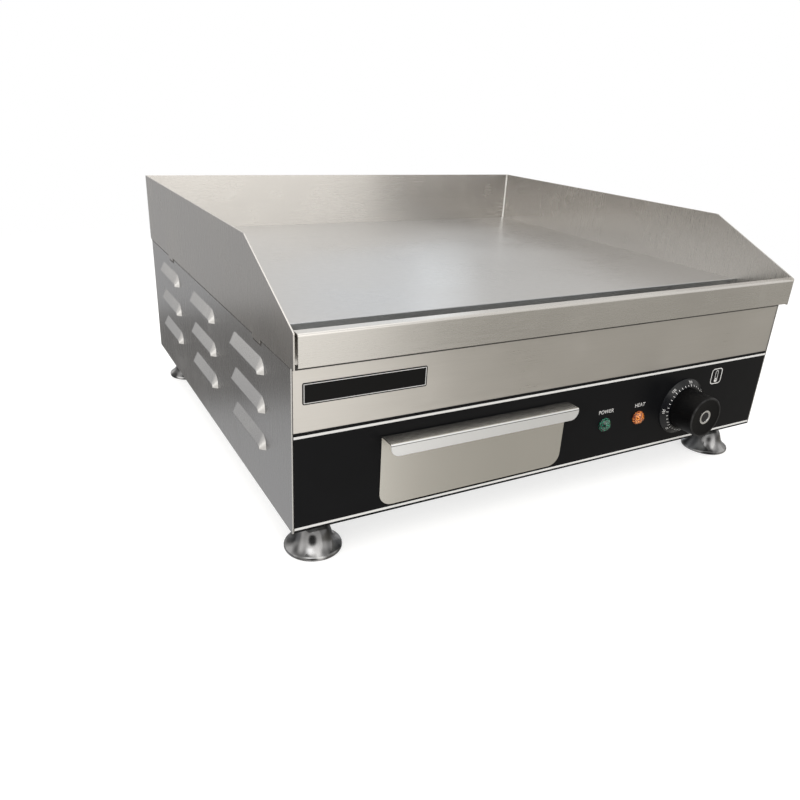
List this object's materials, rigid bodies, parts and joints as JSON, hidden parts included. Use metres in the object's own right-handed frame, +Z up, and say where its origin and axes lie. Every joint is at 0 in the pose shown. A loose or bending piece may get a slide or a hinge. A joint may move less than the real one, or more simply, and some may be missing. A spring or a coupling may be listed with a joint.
{
  "type": "electric griddle",
  "caption": "Countertop electric griddle: flat steel plate inside a splash guard, front gutter, sliding grease drawer, thermostat knob and levelling feet.",
  "frame": {"origin": "on the floor at the centre of the overall footprint, from the knob's face to the cable gland's end and between the side louvres", "axes": "+X to the operator's right, +Y to the back, +Z up"},
  "size_m": [0.558, 0.55, 0.254],
  "materials": {
    "guard_steel": "satin",
    "gutter_steel": "satin",
    "plate_steel": "satin",
    "side_steel": "satin",
    "front_steel": "satin",
    "rear_steel": "satin",
    "zinc_sheet": "satin",
    "overlay_black": "satin",
    "nameplate_black": "satin",
    "rating_aluminium": "satin",
    "ceramic_fibre": "matte",
    "zinc_fastener": "satin",
    "drawer_steel": "satin",
    "bakelite_brown": "satin",
    "spindle_steel": "satin",
    "bezel_black": "gloss",
    "knob_black": "satin",
    "emblem_metal": "satin",
    "lens_green": "gloss",
    "lens_orange": "gloss",
    "lamp_plastic": "matte",
    "element_sheath": "matte",
    "ceramic_white": "matte",
    "cutout_metal": "satin",
    "copper": "satin",
    "gland_nylon": "satin",
    "wire_insulation": "satin",
    "foot_chrome": "polished"
  },
  "bodies": {
    "chassis": {"base_plate": "zinc_sheet", "block_screws": "zinc_fastener", "cable_gland_body": "gland_nylon", "cable_gland_cap": "gland_nylon", "cable_gland_locknut": "gland_nylon", "clamp_bars": "zinc_fastener", "clamp_nuts": "zinc_fastener", "control_overlay": "overlay_black", "control_wires": "wire_insulation", "dial_bezel": "bezel_black", "drawer_runner_left": "zinc_sheet", "drawer_runner_right": "zinc_sheet", "earth_nuts": "zinc_fastener", "earth_stud": "spindle_steel", "element_terminals": "ceramic_white", "element_wires": "wire_insulation", "foot_nuts": "zinc_fastener", "front_panel": "front_steel", "griddle_plate": "plate_steel", "gutter_trough": "gutter_steel", "heat_lamp_lens": "lens_orange", "heat_shield": "zinc_sheet", "heating_element_front": "element_sheath", "heating_element_middle": "element_sheath", "heating_element_rear": "element_sheath", "insulation_blanket": "ceramic_fibre", "lamp_bodies": "lamp_plastic", "lamp_nuts": "zinc_fastener", "limit_cutout": "cutout_metal", "nameplate": "nameplate_black", "plate_gasket": "ceramic_fibre", "plate_studs": "zinc_fastener", "power_lamp_lens": "lens_green", "rating_plate": "rating_aluminium", "rear_panel": "rear_steel", "rear_screws": "zinc_fastener", "sensor_bulb": "cutout_metal", "sensor_capillary": "copper", "side_panel_left": "side_steel", "side_panel_right": "side_steel", "splash_guard": "guard_steel", "supply_wires": "wire_insulation", "terminal_block": "ceramic_white", "thermostat_body": "bakelite_brown", "thermostat_screws": "zinc_fastener", "tray_screws": "zinc_fastener"},
    "drawer": {"drawer_front": "drawer_steel", "drawer_tray": "drawer_steel"},
    "knob": {"knob_grip": "knob_black", "knob_emblem": "emblem_metal", "thermostat_spindle": "spindle_steel"},
    "foot_front_left": {"foot_bell_front_left": "foot_chrome", "foot_stud_front_left": "spindle_steel"},
    "foot_front_right": {"foot_bell_front_right": "foot_chrome", "foot_stud_front_right": "spindle_steel"},
    "foot_rear_left": {"foot_bell_rear_left": "foot_chrome", "foot_stud_rear_left": "spindle_steel"},
    "foot_rear_right": {"foot_bell_rear_right": "foot_chrome", "foot_stud_rear_right": "spindle_steel"}
  },
  "joints": [
    {"name": "drawer_slide", "type": "slide", "parent": "chassis", "child": "drawer", "axis": [0, -1, 0], "range_m": [0, 0.2]},
    {"name": "knob_turn", "type": "hinge", "parent": "chassis", "child": "knob", "pos_m": [0.1524, -0.25, 0.0774], "axis": [0, 1, 0], "range_deg": [0, 300]},
    {"name": "foot_front_left_level", "type": "slide", "parent": "chassis", "child": "foot_front_left", "axis": [0, 0, -1], "range_m": [0, 0.01]},
    {"name": "foot_front_right_level", "type": "slide", "parent": "chassis", "child": "foot_front_right", "axis": [0, 0, -1], "range_m": [0, 0.01]},
    {"name": "foot_rear_left_level", "type": "slide", "parent": "chassis", "child": "foot_rear_left", "axis": [0, 0, -1], "range_m": [0, 0.01]},
    {"name": "foot_rear_right_level", "type": "slide", "parent": "chassis", "child": "foot_rear_right", "axis": [0, 0, -1], "range_m": [0, 0.01]}
  ]
}
